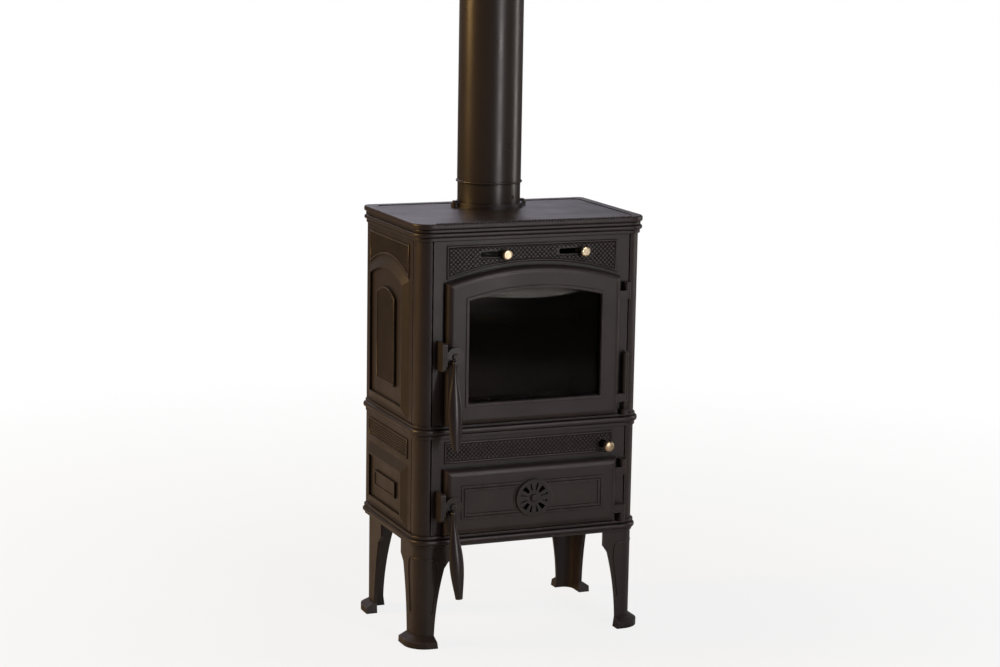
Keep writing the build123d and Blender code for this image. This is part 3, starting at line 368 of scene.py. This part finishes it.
def patterned_field(name, pitch, turn, rise, half, low, high, place, slots=()):
    """Raised cells inside the bead that runs along low(u), high(u) and half on each side of the middle."""
    groove_share = 0.17
    sliver_share = 0.3
    lift = 0.0001
    half = half - bead
    top = high(0) - bead
    bottom = min(low(0) + bead, low(half) + bead)
    bm = bmesh.new()
    count = int(2 * math.hypot(half, (top - bottom) / 2) / pitch) + 3
    bmesh.ops.create_grid(bm, x_segments=count, y_segments=count, size=count * pitch / 2)
    bmesh.ops.rotate(bm, verts=bm.verts, cent=(0, 0, 0), matrix=Matrix.Rotation(math.radians(turn), 3, "Z"))
    bmesh.ops.translate(bm, verts=bm.verts, vec=(0, (top + bottom) / 2, 0))
    spare = []
    for face in bm.faces:
        u, v = face.calc_center_median().xy
        inside = abs(u) < half and low(u) + bead < v < high(u) - bead
        cut = any(abs(u - x) < wide and abs(v - z) < tall for x, z, wide, tall in slots)
        if cut or not inside:
            spare.append(face)
    bmesh.ops.delete(bm, geom=spare, context="FACES")
    for vert in bm.verts:
        u = max(-half, min(half, vert.co.x))
        v = max(low(u) + bead, min(high(u) - bead, vert.co.y))
        for x, z, wide, tall in slots:
            if abs(u - x) < wide and abs(v - z) < tall:
                v = z + math.copysign(tall, v - z)
        vert.co = (u, v, 0)
    slivers = [face for face in bm.faces if face.calc_area() < sliver_share * pitch * pitch]
    bmesh.ops.delete(bm, geom=slivers, context="FACES")
    flanks = bmesh.ops.inset_individual(
        bm, faces=bm.faces[:], thickness=groove_share * pitch, depth=rise, use_even_offset=True
    )["faces"]
    # The flanks take the near-black second finish, painted shade.
    for face in flanks:
        face.material_index = 1
    for vert in bm.verts:
        vert.co = place(vert.co.x, vert.co.y, vert.co.z + lift)
    turn_outward(bm, place)
    field = new_mesh(name, bm, highlit_pattern_iron, "stove")
    field.data.materials.append(groove_shade)


def outline(half, low, high, inset):
    """Points round a field, a given distance inside its edge."""
    steps = 14
    across = [(step / steps - 1) * (half - inset) for step in range(2 * steps + 1)]
    return [(u, low(u) + inset) for u in across] + [(u, high(u) - inset) for u in reversed(across)]


def framing_bead(name, half, low, high, place, body="stove", middle=0.00175, radius=0.0019, seat=0.0010):
    """A half-round bead round a field, with a thin strip of painted shade along each of its feet."""
    rim = 0.0011
    lift = 0.0003
    turns = [math.radians(angle) for angle in range(0, 181, 30)]
    arc = [(middle - radius * math.cos(turn), seat + radius * math.sin(turn)) for turn in turns]
    # Flat strips at the bead's feet, in the near-black second finish, are painted shade.
    shade_strip = [(middle - radius - rim, 0.0), (middle - radius - rim, lift), (middle - radius, lift)]
    profile = shade_strip + arc + [(2 * middle - inset, height) for inset, height in reversed(shade_strip)]
    bm = bmesh.new()
    rings = []
    for inset, height in profile:
        rings.append([bm.verts.new(place(u, v, height)) for u, v in outline(half, low, high, inset)])
    for step, (outer, inner) in enumerate(zip(rings, rings[1:])):
        on_bead = 2 < step < len(profile) - 4
        for first, second in zip(range(-1, len(outer) - 1), range(len(outer))):
            face = bm.faces.new((outer[first], outer[second], inner[second], inner[first]))
            face.material_index = 0 if on_bead else 1
    turn_outward(bm, place)
    piece = new_mesh(name, bm, highlit_pattern_iron, body)
    piece.data.materials.append(groove_shade)
    for polygon in piece.data.polygons:
        polygon.use_smooth = polygon.material_index == 0


def on_front(u, v, w):
    return Vector((u, front_face - w, v))


def arch(half_width, spring, rise):
    """Height of a segmental arch over u."""
    radius = (half_width**2 + rise**2) / (2 * rise)
    return lambda u: spring + rise - radius + math.sqrt(max(radius**2 - u**2, 0))


def level(height):
    """The same height over every u."""
    return lambda u: height


front_half = 0.186
door_arch = arch(front_half, 0.759, 0.030)
upper_top = level(0.825)
mid_bottom = level(0.382)
mid_top = level(0.425)
air_slots = [(side * 0.0855, 0.805, 0.030, 0.0072) for side in (-1, 1)]
rod_x = 0.1645
rod_z = 0.399
rod_clear = 0.010
front_rise = 0.0018
patterned_field(
    "upper_front_pattern", 0.0066, 45, front_rise, front_half, door_arch, upper_top, on_front, air_slots
)
framing_bead("upper_front_bead", front_half, door_arch, upper_top, on_front)
framing_bead("mid_front_bead", front_half, mid_bottom, mid_top, on_front)
patterned_field(
    "mid_front_pattern", 0.0064, 45, front_rise, front_half, mid_bottom, mid_top, on_front,
    [(rod_x, rod_z, rod_clear, rod_clear)],
)


# Door beads. Both doors are cast with low flat beads, one round the glass and two round the middle of the
# ash door. Each bead is painted lighter than the door as a painted highlight, and a thin strip of painted
# shade along its two feet draws it as a pair of thin dark lines.
door_face = -0.150
door_half = 0.190
door_rise = 0.030
flat_seat = -0.0006


def door_span(node):
    """Lowest and highest point of a door."""
    heights = [corner[2] for corner in nodes[node].bound_box]
    return min(heights), max(heights)


def on_door(u, v, w):
    return Vector((u, door_face - w, v))


low_edge, high_edge = door_span("ash_door")
for number, inset in enumerate((0.0335, 0.0405)):
    framing_bead(
        "ash_door_frame_line_" + str(number + 1), door_half - inset, level(low_edge + inset),
        level(high_edge - inset), on_door, "ash_door", 0.00175, 0.00185, flat_seat,
    )
low_edge, high_edge = door_span("fire_door")
window_inset = 0.0395
door_arc = (door_half**2 + door_rise**2) / (2 * door_rise)


def window_head(u):
    """Top of the window's bead, which keeps an even distance from the door's arch."""
    return high_edge - door_arc + math.sqrt((door_arc - window_inset) ** 2 - u**2)


framing_bead(
    "fire_door_window_line", door_half - window_inset, level(low_edge + window_inset), window_head, on_door,
    "fire_door", 0.00225, 0.00235, flat_seat,
)


# Side fields. Each side has finer diamonds in the spandrel over its arched pad and in the panel on the
# pad, and rows of small squares in the strip below the middle frame, each in its own bead.
side_face = 0.243
pad_rise = 0.007
side_middle = 0.1772 - 0.128
side_half = 0.1168
pad_half = 0.053
shoulder = arch(side_half, 0.7545, 0.030)
crown = arch(pad_half, 0.700, 0.018)
spandrel_top = level(0.821)
pad_bottom = level(0.520)
strip_bottom = level(0.383)
strip_top = level(0.423)
side_pitch = 0.0042
side_rise = 0.0012
for side, word in ((-1, "left"), (1, "right")):
    def on_side(u, v, w, side=side):
        return Vector((side * (side_face + w), side_middle + side * u, v))

    def on_pad(u, v, w, side=side):
        return Vector((side * (side_face + pad_rise + w), side_middle + side * u, v))

    patterned_field(
        word + "_spandrel_pattern", side_pitch, 45, side_rise, side_half, shoulder, spandrel_top, on_side
    )
    patterned_field(word + "_arched_pattern", side_pitch, 45, side_rise, pad_half, pad_bottom, crown, on_pad)
    patterned_field(word + "_strip_pattern", 0.0052, 0, 0.0013, side_half, strip_bottom, strip_top, on_side)
    framing_bead(word + "_spandrel_bead", side_half, shoulder, spandrel_top, on_side)
    framing_bead(word + "_arched_bead", pad_half, pad_bottom, crown, on_pad)
    framing_bead(word + "_strip_bead", side_half, strip_bottom, strip_top, on_side)


# Top plate edge. The front edge of the top plate is cast with a fine rope border, a row of small slanting
# bosses that stand just proud of the rounded edge.
boss_pitch = 0.0062
boss_count = 69
boss_turn = Matrix.Rotation(math.radians(38), 4, "Y")
boss_size = Matrix.Diagonal((0.0023, 0.0042, 0.0056, 1))
edge_y = -0.1335
edge_z = 0.8688
bm = bmesh.new()
for step in range(boss_count):
    x = (step - (boss_count - 1) / 2) * boss_pitch
    shape = Matrix.Translation((x, edge_y, edge_z)) @ boss_turn @ boss_size
    bmesh.ops.create_icosphere(bm, subdivisions=2, radius=1, matrix=shape)
new_mesh("top_plate_rope_border", bm, cast_iron, "stove", True)


# Flue. A rolled steel pipe with a seam, painted satin brown-black, which stands on the bead of a short
# adapter. The adapter drops over the cast collar and has one small hole for a screw.
flue_paint = coated(
    "flue_paint", (0.020, 0.0155, 0.0135), (0.032, 0.025, 0.021), 0.36, 0.26, 260, 0.00005,
    (0.07, 0.055, 0.045),
)
finish(flue_paint, "flue_pipe", "flue_adapter")
flue_y = 0.115
adapter_radius = 0.0663
hole_z = 0.893
hole_turn = math.radians(-62)
outward = Vector((math.cos(hole_turn), math.sin(hole_turn), 0))
hole_place = Vector((adapter_radius * outward.x, flue_y + adapter_radius * outward.y, hole_z))
hole_lean = outward.to_track_quat("Z", "Y").to_matrix().to_4x4()
bm = bmesh.new()
bmesh.ops.create_cone(
    bm, cap_ends=True, segments=20, radius1=0.0030, radius2=0.0022, depth=0.0012,
    matrix=Matrix.Translation(hole_place) @ hole_lean,
)
# The screw hole is a near-black disc set on the adapter, painted shade standing in for its dark inside.
hole_shade_black = coated("hole_shade_black", (0.004, 0.004, 0.004), (0.010, 0.009, 0.009), 0.9, 0.8, 900, 0.0002)
new_mesh("adapter_screw_hole", bm, hole_shade_black, "stove", True)


# Lining. Pressed vermiculite boards line three sides of the firebox. The boards and the iron parts near the
# fire are coloured near black, darker than the outer castings.
fire_board = coated("vermiculite", (0.004, 0.0032, 0.0026), (0.016, 0.0125, 0.010), 0.95, 0.85, 240, 0.0008)
fire_dark_iron = coated("firebox_dark_iron", (0.004, 0.0035, 0.003), (0.016, 0.013, 0.011), 0.85, 0.6, 500, 0.0004)
finish(fire_board, "left_liner", "right_liner", "rear_liner")
finish(fire_dark_iron, "baffle_plate", "log_retainer", "fire_grate", "shutter_guide")


# Fastenings. Nuts, rods, pins and screws are mild steel, blackened, with edges painted lighter, partly wear
# and partly painted highlight, and roots painted near black as painted shade.
dark_steel = coated(
    "blackened_steel", (0.018, 0.016, 0.015), (0.055, 0.045, 0.04), 0.5, 0.34, 420, 0.00012,
    (0.22, 0.2, 0.18), 0.6,
)
finish(
    dark_steel, "leg_bolts", "tie_rods", "flue_collar_bolts", "keeper_screws", "fire_door_upper_pin",
    "fire_door_lower_pin", "ash_door_pins", "glass_clips", "glass_clip_screws", "fire_door_latch_bolt",
    "ash_door_latch_bolt", "left_air_shutter", "right_air_shutter", "riddling_gear",
)


# Fire door glass. A sheet of glass ceramic, browned by smoke and washed clear near the deflector that sends
# air down its inside face, clipped behind the window on a gasket. It mirrors less here than real glass
# does, and light falls straight through it.
door_glass, tree, shader = new_material("smoked_glass", 0.03)
shader.inputs["Transmission Weight"].default_value = 1.0
shader.inputs["IOR"].default_value = 1.17
spot = add_node(tree, "ShaderNodeTexCoord")
haze = add_node(tree, "ShaderNodeTexNoise", Vector=spot.outputs["Object"], Scale=9.0, Detail=4.0)
soil = add_node(tree, "ShaderNodeMix", {"data_type": "RGBA"}, Factor=haze.outputs["Fac"])
soil.inputs[6].default_value = (0.16, 0.12, 0.09, 1)
soil.inputs[7].default_value = (0.34, 0.27, 0.20, 1)
axes = add_node(tree, "ShaderNodeSeparateXYZ", Vector=spot.outputs["Object"])
washed = add_node(tree, "ShaderNodeMapRange", i0=axes.outputs["Z"], i1=0.66, i2=0.70)
tint = add_node(tree, "ShaderNodeMix", {"data_type": "RGBA"}, Factor=washed.outputs[0])
tree.links.new(soil.outputs[2], tint.inputs[6])
tint.inputs[7].default_value = (0.93, 0.92, 0.90, 1)
tree.links.new(tint.outputs[2], shader.inputs["Base Color"])
path = add_node(tree, "ShaderNodeLightPath")
passed = add_node(tree, "ShaderNodeBsdfTransparent", Color=tint.outputs[2])
blend = add_node(
    tree, "ShaderNodeMixShader", Fac=path.outputs["Is Shadow Ray"], i1=shader.outputs[0], i2=passed.outputs[0]
)
tree.links.new(blend.outputs[0], tree.nodes["Material Output"].inputs["Surface"])
finish(door_glass, "door_glass")
seal_rope = coated("glass_fibre_rope", (0.10, 0.10, 0.095), (0.30, 0.29, 0.27), 0.95, 0.9, 900, 0.0009)
finish(seal_rope, "fire_door_rope", "ash_door_rope", "glass_gasket")
finish(cast_iron, "air_deflector")


# Latches. The grips are cast smooth and polished under their black, and the keepers and the rosette are
# left darker than the plates they sit on.
grip_black = coated(
    "smooth_black_iron", (0.012, 0.0095, 0.0095), (0.024, 0.019, 0.019), 0.36, 0.28, 300, 0.00008,
    (0.10, 0.08, 0.075),
)
finish(grip_black, "fire_door_handle", "ash_door_handle")
dull_black = coated(
    "dull_black_iron", (0.008, 0.0065, 0.0065), (0.02, 0.016, 0.016), 0.55, 0.42, 600, 0.0002,
    (0.08, 0.07, 0.065),
)
finish(dull_black, "fire_door_keeper", "ash_door_keeper", "air_rosette", "rosette_bolt")


# Knobs. Pale brass turned in a lathe, brushed by use. The riddling rod's knob is a sleeve over the rod's
# end, so it is turned here as its own brass cap.
knob_brass = coated(
    "brushed_brass", (0.42, 0.33, 0.21), (0.66, 0.55, 0.40), 0.38, 0.24, 500, 0.00006, (0.8, 0.72, 0.58), 1.0
)
finish(knob_brass, "left_air_knob", "right_air_knob")
bm = bmesh.new()
cap_profile = [
    (0.0, -0.1645), (0.0075, -0.1643), (0.0100, -0.1632), (0.0108, -0.1610),
    (0.0108, -0.1560), (0.0085, -0.1528), (0.0062, -0.1522),
]
ring = [bm.verts.new((rod_x + reach, y, rod_z)) for reach, y in cap_profile]
edges = [bm.edges.new(pair) for pair in zip(ring, ring[1:])]
bmesh.ops.spin(
    bm, geom=ring + edges, cent=(rod_x, 0, rod_z), axis=(0, 1, 0), angle=2 * math.pi, steps=40, use_merge=True
)
bmesh.ops.remove_doubles(bm, verts=bm.verts, dist=0.00005)
bmesh.ops.recalc_face_normals(bm, faces=bm.faces)
new_mesh("riddling_knob_cap", bm, knob_brass, "riddling_gear", True)


# Ash pan. Folded from plain steel sheet, with a rolled pull, dulled by ash.
pan_steel = coated("ashy_steel", (0.11, 0.11, 0.11), (0.30, 0.30, 0.30), 0.6, 0.4, 300, 0.0001, None, 0.7)
finish(pan_steel, "ash_pan")
